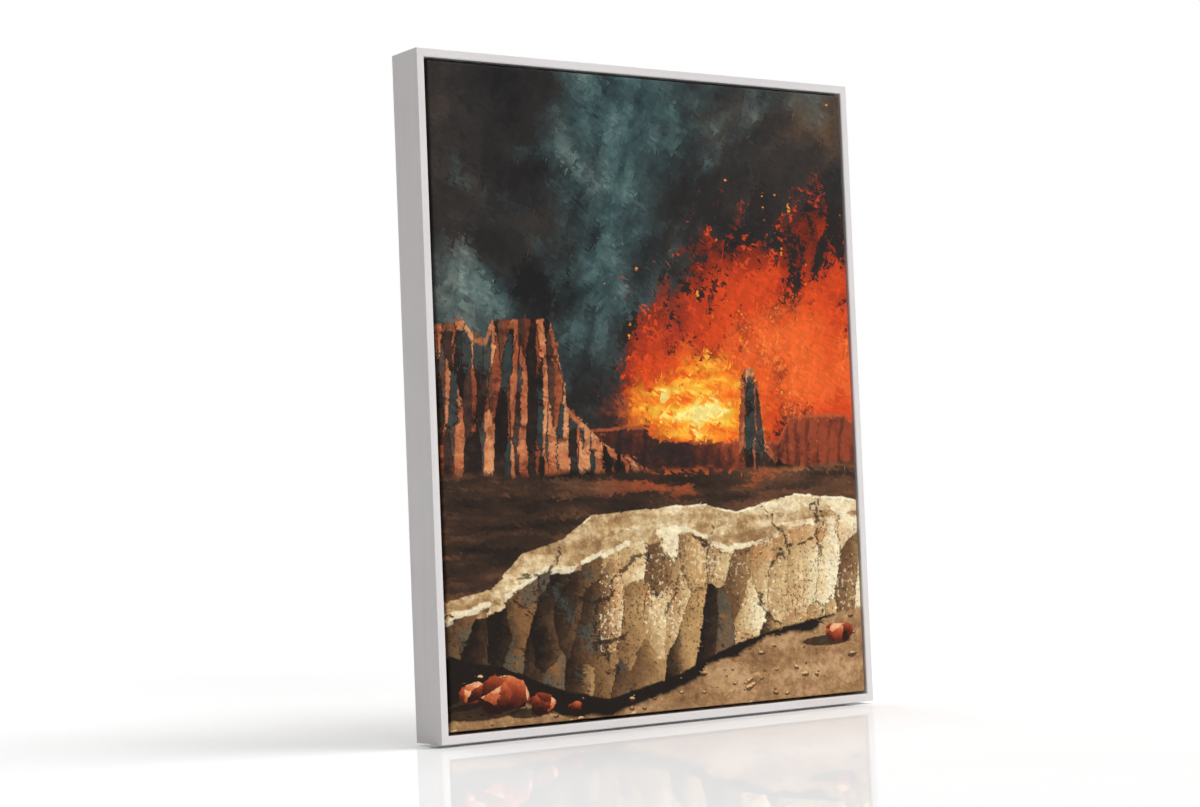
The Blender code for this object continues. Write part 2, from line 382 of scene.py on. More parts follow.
def paint_sun(s, dab, colour):
    """The glare of the low sun, in level streaks."""
    streak = s.streaks(dab.at, (5.0, 30.0, 1.0), 4, 0.6)
    near = dab.near(SUN, 46, 90, 1.0)
    warmth = near * 0.5 + 0.5 + streak.sway(1.5) + dab.drift.sway(0.8)
    glare = (0.25, "#e04c1c"), (0.5, "#f5701f"), (0.7, "#fd9c2b"), (0.85, "#ffc844"), (0.97, "#ffe889")
    share = near + 0.5 + dab.drift.sway(1.6) + dab.worn.sway(0.8)
    return s.mix(share.step(0.0, 0.9), colour, s.ramp(warmth, *glare))


def paint_buttes(s, dab, colour):
    """Far mesas, then a spire and a butte in upright planes that the sun catches from one side."""
    u, drift, grit = dab.u, dab.drift, dab.grit
    haze = dab.cloud * 0.65 + drift * 0.35 + grit.sway(0.2)
    far = s.ramp(haze, (0.4, "#2c211f"), (0.5, "#5a2c20"), (0.6, "#93432a"))
    below = dab.under(FAR_MESAS, 0.012)
    gully = (dab.steady_u * 210 + drift * 8 + below * 30).sine() * 0.5 + dab.worn.sway(2.4)
    far = s.mix(gully.step(0.0, 0.3) * below.step(0.004, 0.02) * 0.55, far, "#2a1a17")
    far = s.mix((0.009 - below).step(0.0, 0.004) * drift.step(0.42, 0.5) * 0.6, far, "#c9633c")
    colour = s.mix(below.step(-0.001, 0.003), colour, far)
    grid = s.turned(dab.steady, 1.53, (0.13, 0.024))
    grid = s.shifted(grid, drift * 1.4, dab.worn.sway(0.7))
    columns, shade, tone, _ = s.cells(grid, 0.85)
    leftward = s.aside(grid, columns)
    dark_tone = shade * 0.4 + drift * 0.6 + grit.sway(0.3)
    dark = s.ramp(dark_tone, (0.25, "#15100e"), (0.44, "#2a1f1a"), (0.58, "#463128"), (0.75, "#6a4532"))
    dark = s.mix((drift + tone.sway(0.4)).step(0.56, 0.62) * 0.45, dark, "#3f5250")
    lit_tone = tone * 0.35 + drift * 0.65 + grit.sway(0.35)
    lit = s.ramp(lit_tone, (0.3, "#6a3322"), (0.44, "#964c30"), (0.57, "#bd6c45"), (0.72, "#e09a68"))
    seam = (0.05 - s.edges(grid, 0.85)).step(0.0, 0.03)
    bed = (dab.v * 95 + drift.sway(9)).sine().step(0.80, 0.92) * 0.4
    for outline, middle, slope, lit_side in ((SPIRE, 0.722, -9.0, 0.4), (BUTTE, 0.19, 1.6, -1.0)):
        below = dab.under(outline, 0.012)
        facing = ((u - middle) * slope + leftward * lit_side + shade.sway(0.8)).step(0.06, 0.14)
        rim = (0.020 - below).step(0.0, 0.007) * (tone + drift.sway(1)).step(0.25, 0.4)
        rock = s.mix((facing * 0.95).most(rim * 0.9), dark, lit)
        rock = s.mix(bed.most(seam * 0.75), rock, "#19110e")
        colour = s.mix(below.step(-0.001, 0.002), colour, rock)
    return colour


def paint_plain(s, dab, colour):
    """Dark level ground between the buttes and the terrace."""
    tone = dab.run * 0.7 + dab.cloud * 0.3
    earth = s.ramp(tone, (0.36, "#191412"), (0.5, "#3a2a20"), (0.6, "#664430"), (0.72, "#a06a44"))
    under_sun = (0.30 - abs(dab.u - SUN[0])).step(0.0, 0.25) * (dab.v - 0.40).step(0.0, 0.05)
    earth = s.mix((dab.run + dab.drift.sway(0.3)).step(0.53, 0.58) * under_sun * 0.8, earth, "#b4532b")
    level = PLAIN_EDGE - dab.steady_v + dab.drift.sway(0.03)
    return s.mix(level.step(-0.006, 0.008), colour, earth)


def paint_terrace(s, dab, colour):
    """A pale terrace of rock: a lit top, and a face broken into upright planes, pitted and cracked."""
    cloud, drift, worn, grit = dab.cloud, dab.drift, dab.worn, dab.grit
    slabs = s.shifted(s.turned(dab.steady, 0.16, (0.11, 0.030)), drift * 1.1, worn * 0.8)
    _, slab, _, _ = s.cells(slabs)
    tone = drift * 0.4 + grit * 0.25 + dab.run * 0.35 + slab.sway(0.13)
    top = s.ramp(tone, (0.38, "#94704a"), (0.46, "#bd9a6b"), (0.53, "#dcc296"), (0.62, "#f2e1b9"))
    grid = s.turned(dab.steady, 1.42, (0.15, 0.05))
    grid = s.shifted(grid, drift.sway(0.7), worn.sway(0.5))
    planes, facing, chance, _ = s.cells(grid)
    patch = s.noise(planes.also("Position"), 0.32, 2, 0.5)
    light = facing * 0.7 + (dab.u - 0.50) * 1.3 + patch.sway(2.2)
    tone = drift * 0.45 + grit * 0.25 + chance * 0.3 - s.aside(grid, planes) * 0.22
    dim = s.ramp(tone, (0.3, "#1d1611"), (0.44, "#3a2a1e"), (0.56, "#5d432d"), (0.7, "#86603c"))
    dim = s.mix((worn + chance.sway(0.3)).step(0.54, 0.60) * 0.5, dim, "#4a564e")
    half = s.ramp(tone, (0.3, "#6a4c31"), (0.45, "#8f6b45"), (0.58, "#b08a5a"), (0.7, "#c79e68"))
    fair = s.ramp(tone, (0.3, "#b08a5c"), (0.44, "#d0ae7c"), (0.56, "#e6cc9b"), (0.7, "#f7e8c2"))
    fair = s.mix((cloud + worn.sway(0.8)).step(0.53, 0.62) * 0.45, fair, "#c4824c")
    face = s.mix(light.step(0.20, 0.24), dim, half)
    face = s.mix(light.step(0.58, 0.62), face, fair)
    seam = (0.035 - s.edges(grid)).step(0.0, 0.02)
    face = s.mix(seam * (drift + chance * 0.3).step(0.6, 0.7) * 0.8, face, "#2a1d14")
    pits = (s.noise(dab.place, 150.0, 2, 0.55) + worn.sway(0.5)).step(0.63, 0.67)
    face = s.mix(pits * 0.7, face, "#33241a")
    chalk = (s.noise(dab.place, 110.0, 3, 0.6) + drift.sway(0.5)).step(0.62, 0.66)
    face = s.mix(chalk * light.step(0.3, 0.6) * 0.6, face, "#fbeecb")
    over = dab.under(TERRACE_BROW, 0.045) + chance.sway(0.022)
    rock = s.mix(over.step(-0.001, 0.002), top, face)
    brow = (0.007 - abs(over)).step(0.0, 0.003) * (worn + chance.sway(0.4)).step(0.40, 0.48)
    rock = s.mix(brow * 0.8, rock, "#fbedc8")
    warped = s.shifted(s.scaled(dab.steady, (7.0, 5.0, 1.0)), drift * 1.2, cloud)
    crack = (0.03 - s.edges(warped)).step(0.0, 0.016) * (cloud + worn.sway(1)).step(0.48, 0.53)
    rock = s.mix(crack * 0.85, rock, "#2c1f17")
    edge = dab.under(TERRACE, 0.016)
    rim = (0.006 - edge).step(0.0, 0.003) * (worn + drift * 0.5).step(0.70, 0.76)
    rock = s.mix(rim * 0.8, rock, "#fff3d2")
    return s.mix(edge.step(-0.001, 0.002), colour, rock)


def paint_ground(s, dab, colour):
    """Tan ground in front, with the terrace's shadow along its edge."""
    tone = dab.run * 0.35 + dab.drift * 0.35 + dab.grit * 0.3
    earth = s.ramp(tone, (0.38, "#7d5a3c"), (0.5, "#a37c54"), (0.62, "#c69f74"))
    below = dab.under(TERRACE_FOOT, 0.016)
    shadow = (1 - dab.u) * (1 - dab.u) * 0.075 + dab.cloud.sway(0.12) + 0.010
    earth = s.mix((below - shadow).step(-0.006, 0.004), "#1c1511", earth)
    return s.mix(below.step(-0.002, 0.003), colour, earth)


def paint_fallen_rocks(s, dab, colour):
    """Broken terracotta rocks, each with a lit and a dark side and a shadow."""
    dark, lit = ((0.1, "#27130e"), (0.35, "#64291a")), ((0.8, "#cf6f42"), (1.0, "#f0b184"))
    terracotta = (*dark, (0.6, "#a44627"), *lit)
    _, chip, _, _ = s.cells(s.turned(dab.steady, 0.8, (0.036, 0.024)))
    for x, y, wide, high, turn in FALLEN_ROCKS:
        dx, dy = (dab.steady_u - x) / wide, (dab.steady_v - y) / high
        bulge = (dx * (math.cos(turn) * 3) + dy * (math.sin(turn) * 3)).sine() * 0.14
        away = (dx * dx + dy * dy) ** 0.5 + bulge + dab.drift.sway(0.3) + chip.sway(0.2)
        behind, beneath = dx + 0.9, dy + 0.75
        shadow = (behind * behind * 0.35 + beneath * beneath * 4.0) ** 0.5
        colour = s.mix((1 - shadow.step(0.85, 1.05)) * 0.9, colour, "#1d1511")
        side = (dx * 0.5 + dy) * 0.45 + chip.sway(0.9) + 0.5 + dab.grit.sway(0.3)
        colour = s.mix(1 - away.step(0.92, 0.97), colour, s.ramp(side, *terracotta))
    return colour


def paint_pebbles(s, dab, colour):
    """Pebbles strewn over the ground, lit above and dark below."""
    strewn = s.scaled(dab.place, (34.0, 62.0, 1.0))
    strewn = s.shifted(strewn, dab.cloud * 3 + dab.drift, dab.drift * 1.6)
    away, chance, size, tone = s.cells(strewn)
    rise = s.aside(strewn, away)
    on_ground = dab.under(TERRACE_FOOT, 0.016).step(0.004, 0.012) * chance.step(0.70, 0.71)
    reach = size * size * 0.24 + 0.04 + dab.grit.sway(0.22)
    shadow = (reach + 0.07 - away - rise * 0.4).step(0.0, 0.05)
    colour = s.mix(shadow * on_ground * 0.8, colour, "#2b1d14")
    light = rise * 3.0 + 0.6 + tone.sway(0.5)
    pebble = s.ramp(light, (0.2, "#5b3a25"), (0.5, "#b07a4e"), (0.8, "#e8c48e"))
    return s.mix((reach - away).step(0.0, 0.04) * on_ground, colour, pebble)


def paint_specks(s, dab, colour):
    """A few bright specks of paint near the glow."""
    strewn = s.scaled(dab.place, (30.0, 36.0, 1.0))
    away, chance, size, _ = s.cells(s.shifted(strewn, dab.cloud * 3, dab.drift * 3))
    lit = (0.12 * size + 0.02 - away).step(0.0, 0.03) * (chance + dab.heat * 0.25).step(0.93, 0.94)
    return s.mix(lit * dab.v.step(0.5, 0.56), colour, "#f0912f")


# Length, width and angle of the brush strokes that cover the long upright ones
FINER_STROKES = ((0.06, 0.014, 0.14), (0.034, 0.010, 0.75), (0.014, 0.005, -0.5))
TRUE_TO_PLACE = 0.40  # how far a dab's colour keeps to its own place within the stroke


def painting(s, place):
    """A generic canyon at dusk in brush strokes, long and upright in the sky, short and level below."""
    low = s.parts(place)[1].step(0.50, 0.42)
    at, _, tone = strokes(s, place, 0.085, 0.022, 1.35)
    level, middle, fine = (strokes(s, place, *form) for form in FINER_STROKES)
    on_middle, on_fine = middle[1].step(0.5, 0.52), (fine[1] + low * 0.2).step(0.5, 0.52)
    for share, (over, _, over_tone) in ((low, level), (on_middle, middle), (on_fine, fine)):
        at = s.between(share, at, over)
        tone = tone * (1 - share) + over_tone * share
    dab = Dab(s, s.between(TRUE_TO_PLACE, at, place), place)
    colour = paint_sky(s, dab)
    passages = (paint_sun, paint_buttes, paint_plain, paint_terrace, paint_ground, paint_pebbles)
    for passage in (*passages, paint_fallen_rocks, paint_specks):
        colour = passage(s, dab, colour)
    hair = s.streaks(s.turned(place, 1.35, (1, 1)), (22, 260, 1), 3, 0.65)
    value = 0.84 + tone * 0.24 + hair.sway(0.30) + dab.grit.sway(0.25)
    return s.node("ShaderNodeHueSaturation", None, {"Value": value, "Color": colour})


PRIMER = "#e3e0d8", "#f0ede7"
WEAVE_PITCH = 0.55 * MM


def printed_cloth():
    """Primed canvas with the painting printed on it, and mirrored round the sides as far as a bleed."""
    s = Surface("printed_canvas", Roughness=0.7, Specular_IOR_Level=0.12)
    cloth = s.node("ShaderNodeAttribute", {"attribute_name": "cloth_place"}, out="Vector")
    across, up, depth = s.parts(cloth)
    u = across.math("PINGPONG", CANVAS_WIDTH) / CANVAS_WIDTH
    v = up.math("PINGPONG", CANVAS_HEIGHT) / CANVAS_WIDTH
    colour = painting(s, s.point(u, v))
    primer = s.ramp(s.noise(cloth, 130, 4, 0.65), (0.35, PRIMER[0]), (0.65, PRIMER[1]))
    past = (depth - CANVAS_DEPTH - PRINT_BLEED) / MM
    s.feed("Base Color", s.mix(past.step(-0.1, 0.1), colour, primer))
    s.feed("Normal", s.bump(weave(across, up), 0.1 * MM))
    return s.material


def weave(across, up):
    """Height of a plain weave, from 0 to 1."""
    a = (across * (math.pi / WEAVE_PITCH)).sine()
    b = (up * (math.pi / WEAVE_PITCH)).sine()
    over = a * b
    return (abs(a) * (1 + over * 0.5)).most(abs(b) * (1 - over * 0.5)) * 0.66


def raw_cloth():
    """Unprimed back of the canvas."""
    s = Surface("raw_canvas", Roughness=0.9, Specular_IOR_Level=0.2)
    cloth = s.node("ShaderNodeAttribute", {"attribute_name": "cloth_place"}, out="Vector")
    across, up, _ = s.parts(cloth)
    slub = s.streaks(cloth, (18, 260, 1), 3, 0.6)
    slub = slub + s.streaks(cloth, (260, 18, 1), 3, 0.6)
    fleck = s.noise(cloth, 900, 2, 0.6).step(0.70, 0.78)
    colour = s.ramp(slub * 0.5, (0.36, "#d2c9b3"), (0.5, "#dbd3c0"), (0.64, "#e3dccb"))
    colour = s.mix(fleck * 0.35, colour, "#857253")
    s.feed("Base Color", colour)
    s.feed("Normal", s.bump(weave(across, up) + slub * 0.5, 0.12 * MM))
    return s.material


def primed_cloth():
    """White primer on the cloth that the print doesn't reach."""
    s = Surface("primed_canvas", Roughness=0.7, Specular_IOR_Level=0.3)
    s.mottle(130, 4, 0.65, *PRIMER)
    x, _, z = s.parts(s.place())
    s.feed("Normal", s.bump(weave(x, z), 0.1 * MM))
    return s.material


def loose_yarn():
    """Bare cotton yarn."""
    s = Surface("cotton_yarn", Roughness=0.9, Specular_IOR_Level=0.2)
    s.mottle(400, 2, 0.6, "#c9bfa6", "#e2dac6")
    return s.material


def lacquered_wood(name, along):
    """White satin paint over wood, with the grain only just showing along the member's length."""
    s = Surface(name, Specular_IOR_Level=0.4)
    place = s.place()
    stretch = (5, 220, 420) if along == "X" else (420, 220, 5)
    grain = s.streaks(place, stretch, 3, 0.55, 0.2, kind="3D")
    mottle = s.noise(place, 14, 2, 0.5, kind="3D")
    colour = s.ramp(grain * 0.4 + mottle * 0.6, (0.35, "#d5d1d0"), (0.5, "#d9d5d4"), (0.65, "#dcd9d8"))
    s.feed("Base Color", colour)
    s.feed("Roughness", 0.36 + grain * 0.12)
    s.feed("Normal", s.bump(grain, 0.03 * MM))
    return s.material


def bare_pine(name, along):
    """Planed pine with its growth rings cut along the bar, and fine planing marks."""
    s = Surface(name, Roughness=0.62, Specular_IOR_Level=0.3)
    place = s.place()
    stretch = (0.9, 22, 22) if along == "X" else (22, 22, 0.9)
    board = s.scaled(place, stretch)
    drift = s.noise(board, 1.0, 3, 0.5, 0.6, kind="3D")
    rings = ((drift * 130 + s.noise(board, 3.0, 2, 0.5, kind="3D") * 2).sine() + 1) * 0.5
    late_wood = rings * rings * rings
    fibre = s.streaks(place, [k * 40 for k in stretch], 3, 0.6, 0.8, kind="3D")
    tone = late_wood * 0.6 + fibre * 0.4
    s.feed("Base Color", s.ramp(tone, (0.12, "#ecd7b0"), (0.45, "#dfc497"), (0.85, "#c49c66")))
    s.feed("Roughness", 0.52 + fibre * 0.2)
    s.feed("Normal", s.bump(late_wood * 0.3 + fibre, 0.12 * MM))
    return s.material


def zinc():
    """Zinc-plated steel with a faint spangle and scuffs."""
    s = Surface("zinc_plate", Metallic=1.0)
    s.mottle(900, 3, 0.6, "#a9a9a4", "#cfcfca")
    scuff = s.streaks(s.place(), (300, 300, 3000), 2, 0.6, kind="3D")
    s.feed("Roughness", 0.25 + scuff * 0.25)
    s.feed("Normal", s.bump(scuff, 0.02 * MM))
    return s.material


def soft_rubber():
    """Pale rubber, slightly dusty."""
    s = Surface("clear_rubber", Specular_IOR_Level=0.4)
    dust = s.mottle(600, 3, 0.6, "#9d9c98", "#b9b8b3")
    s.feed("Roughness", 0.35 + dust * 0.3)
    return s.material


def floor_finish():
    """Glossy white floor with a faint mirror image. It fades out far from the picture."""
    s = Surface("floor_finish", Metallic=FLOOR_MIRROR, Specular_IOR_Level=0.0)
    place = s.place()
    x, y, _ = s.parts(place)
    smear = s.noise(place, 6.0, 3, 0.5)
    s.feed("Base Color", s.ramp(smear, (0.3, "#fefefe"), (0.7, "#ffffff")))
    s.feed("Roughness", 0.003 + smear * 0.006)
    s.feed("Alpha", ((x * x + y * y) ** 0.5).step(FLOOR_END, FLOOR_FADE_START))
    return s.material


def new_object(name, data):
    obj = bpy.data.objects.new(name, data)
    bpy.context.scene.collection.objects.link(obj)
    return obj


def new_mesh_object(name, mesh_data, *materials):
    """Turns a bmesh into an object."""
    mesh = bpy.data.meshes.new(name)
    mesh_data.to_mesh(mesh)
    mesh_data.free()
    for material in materials:
        mesh.materials.append(material)
    return new_object(name, mesh)


def new_piece(name, mesh_data, *materials, smooth_angle=35):
    """Turns a bmesh into a piece that rides with the picture."""
    obj = new_mesh_object(name, mesh_data, *materials)
    obj.data.shade_smooth()
    obj.data.set_sharp_from_angle(angle=math.radians(smooth_angle))
    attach(obj, "root")
    return obj


def eased(outline, radii, steps):
    """Rounds each corner of a closed 2-D outline by its own radius. A radius of 0 keeps it sharp."""
    points = []
    for i, (corner, radius) in enumerate(zip(outline, radii)):
        here = Vector(corner)
        if radius == 0:
            points.append(here)
            continue
        to_last = (Vector(outline[i - 1]) - here).normalized()
        to_next = (Vector(outline[(i + 1) % len(outline)]) - here).normalized()
        half_angle = to_last.angle(to_next) / 2
        reach = radius / math.tan(half_angle)
        centre = here + (to_last + to_next).normalized() * (radius / math.sin(half_angle))
        start = here + to_last * reach - centre
        end = here + to_next * reach - centre
        for step in range(steps + 1):
            points.append(centre + radius * start.slerp(end, step / steps))
    return points


MEMBER_STATION = 9 * MM  # spacing of the sections along a frame member
MEMBER_WAVER = 0.08 * MM  # how far the sanded faces dip
WAVER_SCALE = (18, 40, 60)  # dips along the member, along its depth and across it, to a metre
MITRE_SEAM = 0.05 * MM


def is_level(side):
    return side in ("bottom", "top")


def side_length(side):
    return FRAME_WIDTH if is_level(side) else FRAME_HEIGHT


def frame_section():
    foot_y = BACK_Y - FOOT_THICKNESS
    outline = [(0, FRONT_Y), (LIP, FRONT_Y), (LIP, foot_y)]
    outline += [(FOOT_REACH, foot_y), (FOOT_REACH, BACK_Y), (0, BACK_Y)]
    radii = (EDGE_EASING, INNER_EASING, 0, EDGE_EASING, EDGE_EASING, EDGE_EASING)
    return eased(outline, radii, steps=5)


def side_matrix(side):
    """Puts a member made along +X, outer side down, on its side of the frame."""
    along = side_length(side)
    across = FRAME_WIDTH + FRAME_HEIGHT - along
    to_middle = Matrix.Translation((-along / 2, 0, -across / 2))
    turn = Matrix.Rotation(SIDES.index(side) * math.pi / 2, 4, "Y")
    return Matrix.Translation((0, 0, MIDDLE_Z)) @ turn @ to_middle


def make_frame_member(side, material):
    """A mitred moulding with softly uneven faces, as sanding and painting leave them."""
    length = side_length(side)
    section = frame_section()
    stations = round(length / MEMBER_STATION)
    member = bmesh.new()
    seed = Vector((len(side), 7.0, 3.0))
    rings = []
    for i in range(stations + 1):
        share = i / stations
        ring = []
        for inward, y in section:
            start, end = inward + MITRE_SEAM, length - inward - MITRE_SEAM
            x = start + (end - start) * share
            spot = Vector(k * scale for k, scale in zip((x, y, inward), WAVER_SCALE)) + seed
            dip = MEMBER_WAVER * (0.5 + 0.5 * noise.noise(spot))
            dip_y = dip if y < FRONT_Y + EDGE_EASING else 0
            dip_z = dip if inward < EDGE_EASING else 0
            ring.append(member.verts.new((x, y + dip_y, inward + dip_z)))
        rings.append(ring)
    join_rings(member, rings)
    member.transform(side_matrix(side))
    obj = new_piece(f"moulding_{side}", member, material)
    even = obj.modifiers.new("Flat faces stay flat", "WEIGHTED_NORMAL")
    even.keep_sharp = True
    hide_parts(f"frame_{side}")


CLOTH_COLUMNS = 64
CLOTH_ROWS = 80
CLOTH_SAG = 0.45 * MM
CLOTH_RIPPLE = 0.16 * MM
RIPPLE_SCALE, WANDER_SCALE = 9, 60  # to a metre
RAW_EDGE_WANDER = 0.6 * MM  # how far the flaps' cut edge strays
STRIP_EDGE = 0.03  # left free at each side of the strip that the raw side's image takes
ON_EDGE = 0.999  # past this share of the half width or height, a point lies on the rim
FOLD_STEPS = 6
SIDE_STEPS = 4


def cloth_turns():
    """The cloth's way from the front's rim round to its cut edge: (inset, y, distance gone)."""
    radius = CLOTH_FOLD_RADIUS
    bend = []
    for step in range(1, FOLD_STEPS + 1):
        angle = math.pi / 2 * step / FOLD_STEPS
        bend.append((radius * (1 - math.sin(angle)), radius * (1 - math.cos(angle))))
    shares = [step / SIDE_STEPS for step in range(1, SIDE_STEPS + 1)]
    reach = CANVAS_DEPTH - 2 * radius
    turns = [(MARGIN + less, FRONT_Y + more) for less, more in bend]
    turns += [(MARGIN, FRONT_Y + radius + reach * share) for share in shares]
    turns += [(MARGIN + more, CLOTH_BACK_Y - less) for less, more in bend]
    turns += [(MARGIN + radius + (CLOTH_FLAP - radius) * share, CLOTH_BACK_Y) for share in shares]
    placed, gone, last = [], 0.0, (MARGIN + radius, FRONT_Y)
    for inset, y in turns:
        gone += math.dist(last, (inset, y))
        placed.append((inset, y, gone))
        last = (inset, y)
    return placed


def join(mesh_data, ring, after):
    """A band of faces between two closed rings of as many points."""
    for i in range(len(ring)):
        j = (i + 1) % len(ring)
        mesh_data.faces.new((ring[i], ring[j], after[j], after[i]))


def join_rings(mesh_data, rings, capped=True):
    """Joins closed rings into a tube."""
    for ring, after in zip(rings, rings[1:]):
        join(mesh_data, ring, after)
    if capped:
        mesh_data.faces.new(rings[0])
        mesh_data.faces.new(rings[-1])
    bmesh.ops.recalc_face_normals(mesh_data, faces=mesh_data.faces)


def apply_modifiers(obj):
    shaped = obj.evaluated_get(bpy.context.evaluated_depsgraph_get())
    mesh = bpy.data.meshes.new_from_object(shaped)
    obj.modifiers.clear()
    obj.data = mesh


def lay_flat(mesh):
    """Lays the printed side out as the flat cloth is, and the raw side in a strip beside it."""
    size = max(FLAT_WIDTH, FLAT_HEIGHT)
    strip = (size - FLAT_WIDTH) / size
    layer = mesh.uv_layers.new(name="OFBake")
    places = mesh.attributes["cloth_place"].data
    edge = Vector((CANVAS_DEPTH + CLOTH_FLAP, CANVAS_DEPTH + CLOTH_FLAP, 0))
    for face in mesh.polygons:
        for corner in face.loop_indices:
            place = (places[mesh.loops[corner].vertex_index].vector + edge) / size
            across, up = place.x, place.y
            if face.material_index:
                across = 1 - strip * (STRIP_EDGE + (1 - 2 * STRIP_EDGE) * place.x * size / FLAT_WIDTH)
            layer.data[corner].uv = (across, up)


def make_canvas(print_material, raw_material):
    """One cloth over the front, round the sides and behind the bars, a little slack in the middle."""
    cloth = bmesh.new()
    flat = cloth.verts.layers.float_vector.new("cloth_place")
    rim = MARGIN + CLOTH_FOLD_RADIUS
    half_width, half_height = FRAME_WIDTH / 2 - rim, FRAME_HEIGHT / 2 - rim
    grid = []
    for row in range(CLOTH_ROWS + 1):
        line = []
        for column in range(CLOTH_COLUMNS + 1):
            x = -half_width + 2 * half_width * column / CLOTH_COLUMNS
            z = MIDDLE_Z - half_height + 2 * half_height * row / CLOTH_ROWS
            tent = (1 - (x / half_width) ** 2) * (1 - ((z - MIDDLE_Z) / half_height) ** 2)
            ripple = noise.noise(Vector((x * RIPPLE_SCALE, 0.3, z * RIPPLE_SCALE))) * min(1.0, tent * 3)
            y = FRONT_Y + CLOTH_SAG * tent + CLOTH_RIPPLE * ripple
            vert = cloth.verts.new((x, max(y, FRONT_Y), z))
            vert[flat] = Vector((x + CANVAS_WIDTH / 2, z - MIDDLE_Z + CANVAS_HEIGHT / 2, 0))
            line.append(vert)
        grid.append(line)
    for low, high in zip(grid, grid[1:]):
        for column in range(CLOTH_COLUMNS):
            cloth.faces.new((*low[column : column + 2], high[column + 1], high[column]))
    border = grid[0][:-1] + [line[-1] for line in grid[:-1]]
    border += grid[-1][:0:-1] + [line[0] for line in grid[:0:-1]]
    last = border
    turns = cloth_turns()
    for inset, y, gone in turns:
        ring = []
        ragged = RAW_EDGE_WANDER if gone == turns[-1][2] else 0
        for vert in border:
            x = vert.co.x / half_width
            z = (vert.co.z - MIDDLE_Z) / half_height
            spot = Vector((vert.co.x * WANDER_SCALE, vert.co.z * WANDER_SCALE, 4.0))
            cut = inset + ragged * noise.noise(spot)
            wide, high = FRAME_WIDTH / 2 - cut, FRAME_HEIGHT / 2 - cut
            made = cloth.verts.new((x * wide, y, MIDDLE_Z + z * high))
            out_x, out_z = (round(k) if abs(k) > ON_EDGE else 0 for k in (x, z))
            made[flat] = vert[flat] + Vector((out_x, out_z, 1)) * gone
            ring.append(made)
        join(cloth, last, ring)
        last = ring
    bmesh.ops.recalc_face_normals(cloth, faces=cloth.faces)
    front_face = min(cloth.faces, key=lambda f: f.calc_center_median().y)
    if front_face.normal.y > 0:
        bmesh.ops.reverse_faces(cloth, faces=cloth.faces)
    obj = new_piece("canvas_print", cloth, print_material, raw_material, smooth_angle=50)
    shell = obj.modifiers.new("Thickness", "SOLIDIFY")
    shell.thickness = CLOTH_THICKNESS
    shell.offset = -1
    shell.material_offset = 1
    shell.material_offset_rim = 1
    apply_modifiers(obj)
    lay_flat(obj.data)
    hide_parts("canvas")
    return obj


PLEAT_REACH = 24 * MM  # length of the fold's wedge along the flap
PLEAT_RISE, PLEAT_LEAST_RISE = 1.0 * MM, 0.05 * MM
PLEAT_FIRST = 0.45  # height at the corner, as a share of the highest
PLEAT_SINK = 0.1 * MM
PLEAT_STEPS = 10


def make_pleats(material):
    """The folded-over corners of the flaps, each a wedge of cloth that ends in a slanting fold."""
    pleats = bmesh.new()
    low, high = FOOT_REACH + CLEARANCE, MARGIN + CLOTH_FLAP - CLEARANCE
    for sign_x in (-1, 1):
        for sign_z in (-1, 1):
            rings = []
            for step in range(PLEAT_STEPS + 1):
                share = (step / PLEAT_STEPS) ** 2
                rise = PLEAT_RISE * (1 - share) ** 1.3 + PLEAT_LEAST_RISE
                if step == 0:
                    rise *= PLEAT_FIRST
                ring = []
                for inset in (low, high):
                    x = sign_x * (FRAME_WIDTH / 2 - inset - PLEAT_REACH * share)
                    z = MIDDLE_Z + sign_z * (FRAME_HEIGHT / 2 - inset)
                    ring.append(pleats.verts.new((x, CLOTH_BACK_Y + rise, z)))
                    ring.append(pleats.verts.new((x, CLOTH_BACK_Y - PLEAT_SINK, z)))
                rings.append((ring[0], ring[2], ring[3], ring[1]))
            join_rings(pleats, rings)
    obj = new_piece("corner_pleats", pleats, material, smooth_angle=60)
    return obj


STAPLE_CROWN = 10 * MM
STAPLE_LEG = 1.2 * MM
STAPLE_BEND = 0.8 * MM
STAPLE_WIDTH, STAPLE_THICKNESS = 1.0 * MM, 0.5 * MM
STAPLE_PITCH = 52 * MM
STAPLE_INSET = 35.5 * MM
STAPLE_SKEW = math.radians(5)
# The wire's section round its middle: across its width, and out of its bend
STAPLE_SECTION = ((-0.5, -0.3), (-0.5, 0.3), (-0.3, 0.5), (0.3, 0.5), (0.5, 0.3), (0.5, -0.3), (0, -0.5))


def add_staple(mesh_data, place):
    """One flat-wire staple. place puts its crown's middle on the cloth, with its length along X."""
    half, rise = STAPLE_CROWN / 2, STAPLE_THICKNESS / 2
    corners = [(-half, -STAPLE_LEG), (-half, rise), (half, rise), (half, -STAPLE_LEG)]
    way = eased(corners, (0, STAPLE_BEND, STAPLE_BEND, 0), steps=3)
    rings = []
    for i, here in enumerate(way):
        before, after = way[max(i - 1, 0)], way[min(i + 1, len(way) - 1)]
        ahead = (after - before).normalized()
        outward = Vector((-ahead.y, ahead.x))
        ring = []
        for side, out in STAPLE_SECTION:
            spot = here + outward * (out * STAPLE_THICKNESS)
            ring.append(mesh_data.verts.new(place @ Vector((spot.x, spot.y, side * STAPLE_WIDTH))))
        rings.append(ring)
    join_rings(mesh_data, rings)


